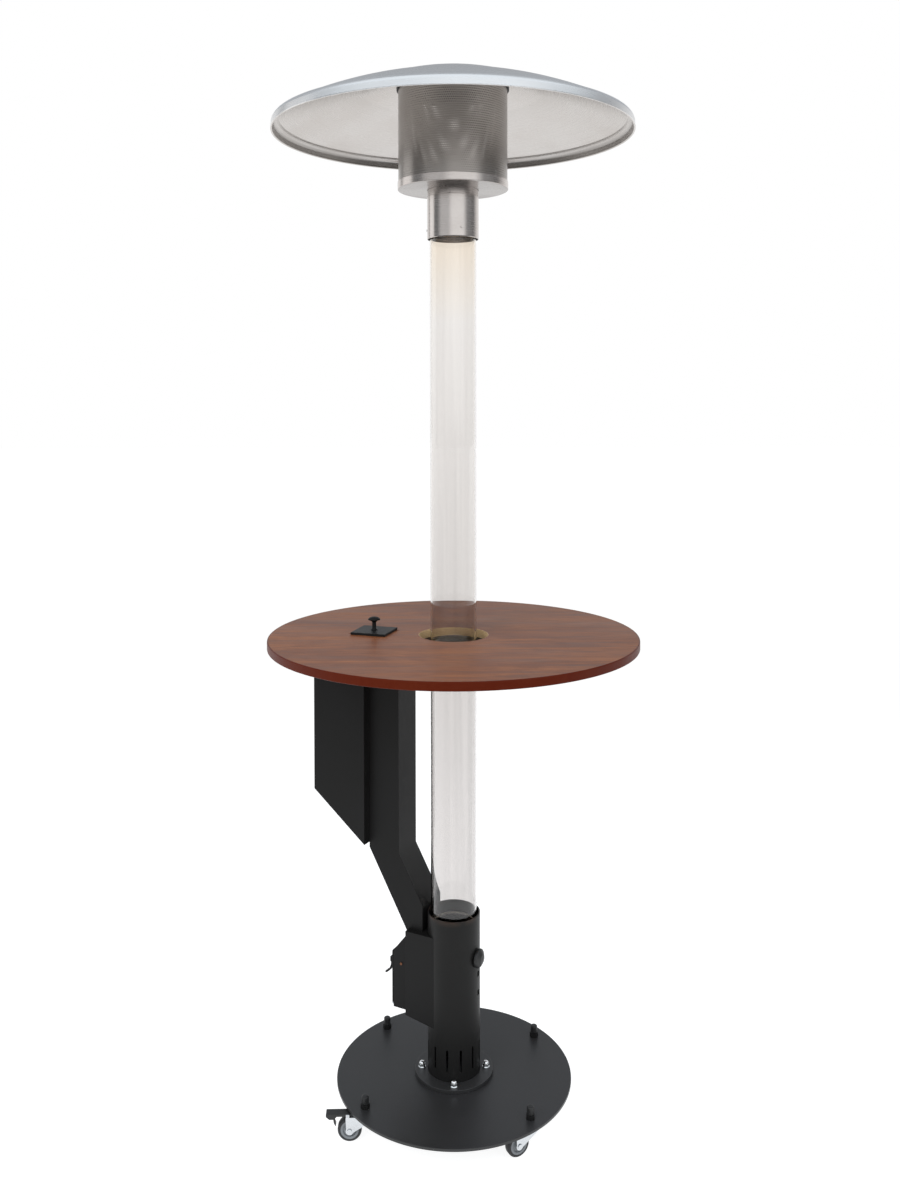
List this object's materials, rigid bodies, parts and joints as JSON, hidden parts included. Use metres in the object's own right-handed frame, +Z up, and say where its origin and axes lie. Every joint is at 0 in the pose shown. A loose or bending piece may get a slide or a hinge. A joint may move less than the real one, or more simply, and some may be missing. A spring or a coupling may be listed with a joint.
{
  "type": "outdoor heater",
  "caption": "Wood-pellet patio heater with a glass flame tube, perforated emitter, spun reflector, round table, pellet hopper and a castor base.",
  "frame": {"origin": "on the floor, under the axis of the burner column, the glass tube and the table", "axes": "+Z up along the column; -Y faces the viewer; the hopper and chute stand at 152 degrees from +X, counter-clockwise"},
  "size_m": [0.7999, 0.8, 2.235],
  "materials": {
    "black_paint": "matte",
    "grey_paint": "satin",
    "satin_steel": "brushed",
    "reflector_aluminium": "satin",
    "bright_chrome": "polished",
    "zinc_steel": "satin",
    "cast_iron": "rough",
    "stained_wood": "satin",
    "clear_glass": "clear",
    "gasket_fibre": "matte",
    "black_plastic": "matte",
    "hub_plastic": "matte",
    "black_rubber": "matte",
    "brass_rivet": "dull"
  },
  "bodies": {
    "heater": {"base_plate": "grey_paint", "box_rivets": "brass_rivet", "bracket_screws": "zinc_steel", "burner_box": "black_paint", "burner_column": "black_paint", "burner_pot": "cast_iron", "castor_nuts": "black_paint", "castor_stems": "zinc_steel", "collar_screws": "satin_steel", "collar_stop_ring": "satin_steel", "column_flange": "grey_paint", "door_hinge": "zinc_steel", "door_hinge_pin": "zinc_steel", "emitter_mesh": "satin_steel", "emitter_pan": "satin_steel", "emitter_top": "satin_steel", "feed_chute": "black_paint", "filler_neck": "black_paint", "flange_bolts": "zinc_steel", "flange_cap_nuts": "bright_chrome", "glass_collar": "satin_steel", "glass_gaskets": "gasket_fibre", "glass_seat": "satin_steel", "glass_tube": "clear_glass", "grate": "cast_iron", "hopper": "black_paint", "latch_keeper": "black_paint", "reflector": "reflector_aluminium", "reflector_nuts": "zinc_steel", "reflector_studs": "zinc_steel", "spindle_bush": "zinc_steel", "stud_caps": "black_plastic", "table_bracket": "black_paint", "tabletop": "stained_wood"},
    "door": {"lighting_door": "black_paint", "latch_base": "black_paint", "latch_pin": "black_paint"},
    "latch_lever": {"latch_lever": "black_paint"},
    "stirrer": {"stirrer_spindle": "zinc_steel", "stirrer_knob": "black_plastic"},
    "fill_lid": {"fill_lid": "black_paint", "lid_knob": "black_paint"},
    "castor_front_left": {"castor_fork_front_left": "zinc_steel", "castor_axle_front_left": "zinc_steel"},
    "wheel_front_left": {"wheel_hub_front_left": "hub_plastic", "wheel_tyre_front_left": "black_rubber"},
    "brake_front_left": {"brake_pedal_front_left": "black_plastic"},
    "castor_front_right": {"castor_fork_front_right": "zinc_steel", "castor_axle_front_right": "zinc_steel"},
    "wheel_front_right": {"wheel_hub_front_right": "hub_plastic", "wheel_tyre_front_right": "black_rubber"},
    "castor_rear_left": {"castor_fork_rear_left": "zinc_steel", "castor_axle_rear_left": "zinc_steel"},
    "wheel_rear_left": {"wheel_hub_rear_left": "hub_plastic", "wheel_tyre_rear_left": "black_rubber"},
    "castor_rear_right": {"castor_fork_rear_right": "zinc_steel", "castor_axle_rear_right": "zinc_steel"},
    "wheel_rear_right": {"wheel_hub_rear_right": "hub_plastic", "wheel_tyre_rear_right": "black_rubber"},
    "brake_rear_right": {"brake_pedal_rear_right": "black_plastic"}
  },
  "joints": [
    {"name": "door_hinge_turn", "type": "hinge", "parent": "heater", "child": "door", "pos_m": [-0.11867, 0.0631, 0.197], "axis": [-0.4695, -0.8829, 0], "range_deg": [0, 100]},
    {"name": "latch_lever_turn", "type": "hinge", "parent": "door", "child": "latch_lever", "pos_m": [-0.13418, 0.05096, 0.29], "axis": [-0.4695, -0.8829, 0], "range_deg": [0, 22]},
    {"name": "stirrer_turn", "type": "hinge", "parent": "heater", "child": "stirrer", "pos_m": [0.05298, -0.02817, 0.328], "axis": [-0.8829, 0.4695, 0], "range_deg": [-50, 50]},
    {"name": "fill_lid_lift", "type": "slide", "parent": "heater", "child": "fill_lid", "axis": [0, 0, 1], "range_m": [0, 0.06]},
    {"name": "swivel_front_left", "type": "hinge", "parent": "heater", "child": "castor_front_left", "pos_m": [-0.18421, -0.12894, 0.055], "axis": [0, 0, 1], "continuous": true},
    {"name": "roll_front_left", "type": "hinge", "parent": "castor_front_left", "child": "wheel_front_left", "pos_m": [-0.21619, -0.13006, 0.025], "axis": [0.0349, -0.9994, 0], "continuous": true},
    {"name": "pedal_front_left", "type": "hinge", "parent": "castor_front_left", "child": "brake_front_left", "pos_m": [-0.22018, -0.1302, 0.056], "axis": [0.0349, -0.9994, 0], "range_deg": [0, 8]},
    {"name": "swivel_front_right", "type": "hinge", "parent": "heater", "child": "castor_front_right", "pos_m": [0.15622, -0.16172, 0.055], "axis": [0, 0, 1], "continuous": true},
    {"name": "roll_front_right", "type": "hinge", "parent": "castor_front_right", "child": "wheel_front_right", "pos_m": [0.12796, -0.17674, 0.025], "axis": [0.4695, -0.8829, 0], "continuous": true},
    {"name": "swivel_rear_left", "type": "hinge", "parent": "heater", "child": "castor_rear_left", "pos_m": [-0.15622, 0.16172, 0.055], "axis": [0, 0, 1], "continuous": true},
    {"name": "roll_rear_left", "type": "hinge", "parent": "castor_rear_left", "child": "wheel_rear_left", "pos_m": [-0.17124, 0.18997, 0.025], "axis": [-0.8829, -0.4695, 0], "continuous": true},
    {"name": "swivel_rear_right", "type": "hinge", "parent": "heater", "child": "castor_rear_right", "pos_m": [0.18421, 0.12894, 0.055], "axis": [0, 0, 1], "continuous": true},
    {"name": "roll_rear_right", "type": "hinge", "parent": "castor_rear_right", "child": "wheel_rear_right", "pos_m": [0.16585, 0.10272, 0.025], "axis": [0.8192, -0.5736, 0], "continuous": true},
    {"name": "pedal_rear_right", "type": "hinge", "parent": "castor_rear_right", "child": "brake_rear_right", "pos_m": [0.16356, 0.09945, 0.056], "axis": [0.8192, -0.5736, 0], "range_deg": [0, 8]}
  ]
}
